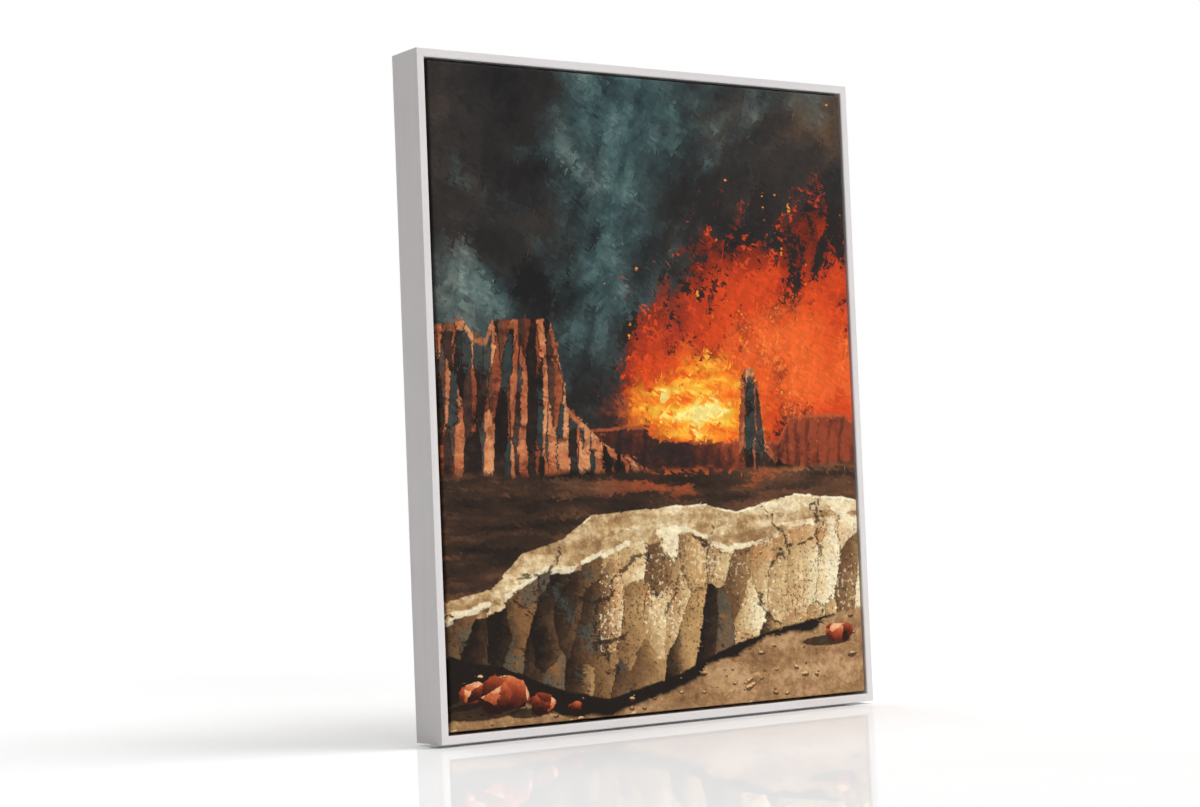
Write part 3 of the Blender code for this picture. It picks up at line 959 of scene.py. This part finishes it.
def make_staples(material, rng):
    """Staples along the flaps, none of them quite straight."""
    staples = bmesh.new()
    for side in SIDES:
        length = side_length(side)
        free = length - 2 * (MARGIN + CLOTH_FLAP + PLEAT_REACH)
        count = round(free / STAPLE_PITCH)
        for i in range(count + 1):
            x = (length - free) / 2 + free * i / count + rng.uniform(-3, 3) * MM
            spot = Vector((x, CLOTH_BACK_Y, STAPLE_INSET + rng.uniform(-1, 1) * MM))
            skew = Matrix.Rotation(rng.uniform(-STAPLE_SKEW, STAPLE_SKEW), 4, "Y")
            add_staple(staples, side_matrix(side) @ Matrix.Translation(spot) @ skew)
    obj = new_piece("staples", staples, material)
    return obj


THREAD_COUNT = 90
THREAD_RADIUS = 0.12 * MM
THREAD_ROOT = 1.5 * MM  # how much of a thread lies on the flap
THREAD_LIFT = 0.25 * MM
THREAD_REACH = 1.5, 4.5  # shortest and longest, in millimetres past the cut edge
THREAD_CORNER_GAP = 4 * MM
THREAD_TAPER = 0.4
THREAD_STEPS = 4


def make_frayed_threads(material, rng):
    """Loose ends of yarn along the flaps' cut edges."""
    threads = bmesh.new()
    y = CLOTH_BACK_Y - CLOTH_THICKNESS / 2
    inset = MARGIN + CLOTH_FLAP
    for _ in range(THREAD_COUNT):
        side = rng.choice(SIDES)
        x = rng.uniform(inset + THREAD_CORNER_GAP, side_length(side) - inset - THREAD_CORNER_GAP)
        reach, lean = rng.uniform(*THREAD_REACH) * MM, rng.uniform(-1, 1)
        curl = rng.uniform(-1, 1)
        place = side_matrix(side)
        rings = []
        for step in range(THREAD_STEPS + 1):
            share = step / THREAD_STEPS
            z = inset - THREAD_ROOT + (reach + THREAD_ROOT) * share
            spot = Vector((x + reach * (lean * share + curl * share**2), y + THREAD_LIFT * share, z))
            radius = THREAD_RADIUS * (1 - THREAD_TAPER * share)
            corners = ((-radius, 0), (0, radius), (radius, 0), (0, -radius))
            rings.append([threads.verts.new(place @ (spot + Vector((a, b, 0)))) for a, b in corners])
        join_rings(threads, rings)
    obj = new_piece("frayed_threads", threads, material)
    return obj


def lathe(outline, columns, wave=None):
    """A round closed shape about the Y axis. The outline is (radius, y) from end to end on the axis."""
    shape = bmesh.new()
    rings = []
    for radius, y in outline[1:-1]:
        ring = []
        for column in range(columns):
            turn = 2 * math.pi * column / columns
            reach = wave(radius, y, column / columns) if wave else radius
            ring.append(shape.verts.new((reach * math.cos(turn), y, reach * math.sin(turn))))
        rings.append(ring)
    join_rings(shape, rings, capped=False)
    for ring, (_, y) in ((rings[0], outline[0]), (rings[-1], outline[-1])):
        tip = shape.verts.new((0, y, 0))
        for i in range(columns):
            shape.faces.new((ring[i], ring[(i + 1) % columns], tip))
    bmesh.ops.recalc_face_normals(shape, faces=shape.faces)
    return shape


SCREW_COUNT = 8
SCREW_HEAD_RADIUS = 3.6 * MM
SCREW_HEAD_HEIGHT = 2.2 * MM
SCREW_LENGTH = 20 * MM
SCREW_CORE, SCREW_CREST, SCREW_NECK = 1.2 * MM, 1.7 * MM, 1.5 * MM  # radii
SCREW_TIP = 0.25  # radius at the point, as a share of the core's
THREAD_PITCH = 1.6 * MM
THREAD_START = 2 * MM  # plain neck under the head
THREAD_ROWS = 5  # to a pitch
THREAD_SHARPNESS = 3.2
RECESS_REACH, RECESS_WIDTH, RECESS_DEPTH = 2.1 * MM, 0.8 * MM, 1.4 * MM
RECESS_FLOOR, RECESS_TOP = 0.45, 1.4  # its size at its floor and above the head, as shares
HEAD_RIM = 0.4  # height of the head's upright rim, as a share of the whole
DOME_STEPS, DOME_POWER = 6, 0.6


def screw_outline():
    outline = [(0, -SCREW_LENGTH), (SCREW_CORE * SCREW_TIP, -SCREW_LENGTH + 0.3 * MM)]
    rows = round((SCREW_LENGTH - THREAD_START) / THREAD_PITCH * THREAD_ROWS)
    for row in range(1, rows + 1):
        y = -SCREW_LENGTH + (SCREW_LENGTH - THREAD_START) * row / rows
        tip = min(1.0, SCREW_TIP + (1 - SCREW_TIP) * (y + SCREW_LENGTH) / (3 * SCREW_CORE))
        outline.append((SCREW_CORE * tip, y))
    outline += [(SCREW_NECK, -THREAD_START * 0.7), (SCREW_NECK, 0), (SCREW_HEAD_RADIUS, 0)]
    rim = SCREW_HEAD_HEIGHT * HEAD_RIM
    for step in range(DOME_STEPS):
        turn = math.pi / 2 * step / DOME_STEPS
        y = rim + (SCREW_HEAD_HEIGHT - rim) * math.sin(turn)
        outline.append((SCREW_HEAD_RADIUS * math.cos(turn) ** DOME_POWER, y))
    return [*outline, (0, SCREW_HEAD_HEIGHT)]


def threaded(radius, y, turn):
    """Adds the thread to a shank's radius, by height and by share of a turn."""
    if y > -THREAD_START or radius < SCREW_CORE * 0.3:
        return radius
    crest = 1 - THREAD_SHARPNESS * abs((y / THREAD_PITCH - turn) % 1 - 0.5)
    return radius + (SCREW_CREST - SCREW_CORE) * max(0.0, crest) * min(1.0, radius / SCREW_CORE)


def cut_recess(obj):
    """Sinks a tapered cross into a screw's head."""
    cutter = bmesh.new()
    a, b = RECESS_REACH, RECESS_WIDTH / 2
    cross = []
    for quarter in range(4):
        for x, z in ((b, a), (b, b), (a, b)):
            for _ in range(quarter):
                x, z = z, -x
            cross.append((x, z))
    rings = []
    for rise, size in ((-RECESS_DEPTH, RECESS_FLOOR), (RECESS_DEPTH, RECESS_TOP)):
        y = SCREW_HEAD_HEIGHT + rise
        rings.append([cutter.verts.new((x * size, y, z * size)) for x, z in cross])
    join_rings(cutter, rings)
    tool = new_mesh_object("cross_recess", cutter)
    cut = obj.modifiers.new("Cross recess", "BOOLEAN")
    cut.operation = "DIFFERENCE"
    cut.object = tool
    apply_modifiers(obj)
    bpy.data.objects.remove(tool)


def make_screws(material, rng):
    """Eight pan-head screws with a cross recess, each turned as it came to rest."""
    first = None
    for number in range(1, SCREW_COUNT + 1):
        low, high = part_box(f"screw_{number}")
        name = f"pan_head_screw_{number}"
        if first is None:
            obj = first = new_piece(name, lathe(screw_outline(), columns=40, wave=threaded), material)
            cut_recess(obj)
        else:
            obj = new_object(name, first.data)
            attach(obj, "root")
        middle = (low + high) / 2
        turn = Matrix.Rotation(rng.uniform(0, math.pi / 2), 4, "Y")
        obj.matrix_world = Matrix.Translation((middle.x, high.y - SCREW_HEAD_HEIGHT, middle.z)) @ turn
        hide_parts(f"screw_{number}")


BUMPER_RIM = 0.4  # height of a bumper's upright rim, as a share of the whole
BUMPER_FOOT = 0.94, 0.08  # radius at the wood, and height where it is full, as shares
BUMPER_STEPS = 8


def make_bumpers(material):
    for side in ("left", "right"):
        low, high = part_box(f"bumper_{side}")
        middle, height, radius = (low + high) / 2, high.y - low.y, (high.x - low.x) / 2
        narrow, full = BUMPER_FOOT
        outline = [(0, 0), (radius * narrow, 0), (radius, height * full), (radius, height * BUMPER_RIM)]
        for step in range(1, BUMPER_STEPS):
            turn = math.pi / 2 * step / BUMPER_STEPS
            y = height * (BUMPER_RIM + (1 - BUMPER_RIM) * math.sin(turn))
            outline.append((radius * math.cos(turn), y))
        dome = lathe([*outline, (0, height)], columns=48)
        dome.transform(Matrix.Translation((middle.x, low.y, middle.z)))
        obj = new_piece(f"rubber_bumper_{side}", dome, material)
        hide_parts(f"bumper_{side}")


HANGER_EASING = 0.15 * MM
WELD_DISTANCE = 0.01 * MM
FLAT_ANGLE = math.radians(2)
NAIL_INSET = 4.5 * MM
# Radius and height from a nail's shank to the crown of its head, in millimetres
NAIL_OUTLINE = ((0, -1), (1, -1), (1, 0), (2.4, 0), (2.4, 0.25), (1.8, 0.55), (0.96, 0.7), (0, 0.75))


def make_hanger(material):
    """The sawtooth hanger with its edges rolled, and the two nails that hold it."""
    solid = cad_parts["hanger"].data
    plate = bmesh.new()
    plate.from_mesh(solid)
    bmesh.ops.remove_doubles(plate, verts=plate.verts, dist=WELD_DISTANCE)
    bmesh.ops.dissolve_limit(plate, angle_limit=FLAT_ANGLE, verts=plate.verts, edges=plate.edges)
    obj = new_piece("sawtooth_plate", plate, material)
    roll = obj.modifiers.new("Rolled edges", "BEVEL")
    roll.width = HANGER_EASING
    roll.segments = 3
    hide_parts("hanger")
    low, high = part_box("hanger")
    for number, x in enumerate((low.x + NAIL_INSET, high.x - NAIL_INSET), start=1):
        nail = lathe([(radius * MM, y * MM) for radius, y in NAIL_OUTLINE], columns=32)
        nail.transform(Matrix.Translation((x, low.y + HANGER_THICKNESS, (low.z + high.z) / 2)))
        obj = new_piece(f"hanger_nail_{number}", nail, material)


def finish_node(name, material):
    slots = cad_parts[name].data.materials
    slots.clear()
    slots.append(material)


def make_stage():
    floor = bmesh.new()
    bmesh.ops.create_circle(floor, cap_ends=True, segments=96, radius=FLOOR_END)
    obj = new_mesh_object("floor", floor, floor_finish())
    obj.location.z = -FLOOR_DROP


def add_sun(name, come_from, lit, spread, mirrored=True):
    """A broad far light. lit is how bright it makes a white surface that faces it."""
    data = bpy.data.lights.new(name, "SUN")
    data.energy = lit * math.pi
    data.angle = math.radians(spread)
    obj = new_object(name, data)
    obj.rotation_euler = Vector(come_from).to_track_quat("Z", "Y").to_euler()
    obj.visible_glossy = mirrored


def light_studio():
    """A white room with soft lights. What is lit gets less of the room than what is seen of it."""
    world = bpy.data.worlds.new("studio")
    world.use_nodes = True
    bpy.context.scene.world = world
    nodes, links = world.node_tree.nodes, world.node_tree.links
    seen = nodes["Background"]
    given = nodes.new("ShaderNodeBackground")
    for background, strength in ((seen, 1.0), (given, ROOM_LIGHT)):
        background.inputs["Color"].default_value = (1, 1, 1, 1)
        background.inputs["Strength"].default_value = strength
    ray = nodes.new("ShaderNodeLightPath")
    either = nodes.new("ShaderNodeMath")
    choice = nodes.new("ShaderNodeMixShader")
    for kind, socket in zip(("Is Camera Ray", "Is Glossy Ray"), either.inputs):
        links.new(ray.outputs[kind], socket)
    for source, socket in zip((either, given, seen), choice.inputs):
        links.new(source.outputs[0], socket)
    links.new(choice.outputs[0], nodes["World Output"].inputs["Surface"])
    add_sun("key", (0.45, -0.42, 0.80), 0.58, 35)
    add_sun("front_fill", (-0.04, -0.94, 0.34), 0.24, 30, mirrored=False)
    add_sun("top", (0.05, 0.10, 0.99), 0.43, 40)
    add_sun("back_fill", (0.10, 0.97, 0.20), 0.26, 20, mirrored=False)


def add_camera():
    data = bpy.data.cameras.new("camera")
    data.sensor_fit = "HORIZONTAL"
    data.sensor_width = CAMERA_SENSOR
    data.lens = CAMERA_LENS
    forward = (CAMERA_AIM - CAMERA_PLACE).normalized()
    level = forward.cross(Vector((0, 0, 1))).normalized()
    upward = level.cross(forward)
    right = level * math.cos(CAMERA_ROLL) - upward * math.sin(CAMERA_ROLL)
    up = upward * math.cos(CAMERA_ROLL) + level * math.sin(CAMERA_ROLL)
    obj = new_object("camera", data)
    turn = Matrix((right, up, -forward)).transposed().to_4x4()
    obj.matrix_world = Matrix.Translation(CAMERA_PLACE) @ turn
    bpy.context.scene.camera = obj


add_camera()
light_studio()
make_stage()
bpy.context.scene.view_settings.view_transform = "Standard"

white_along = {axis: lacquered_wood(f"white_lacquer_{axis}", axis) for axis in ("X", "Z")}
for side in SIDES:
    make_frame_member(side, white_along["X" if is_level(side) else "Z"])
metal, rubber = zinc(), soft_rubber()
rng = random.Random(11)
canvas = make_canvas(printed_cloth(), raw_cloth())
pleats = make_pleats(primed_cloth())
staples = make_staples(metal, rng)
threads = make_frayed_threads(loose_yarn(), rng)
make_screws(metal, rng)
make_bumpers(rubber)
make_hanger(metal)
for side in SIDES:
    finish_node(f"bar_{side}", bare_pine(f"pine_bar_{side}", "X" if is_level(side) else "Z"))
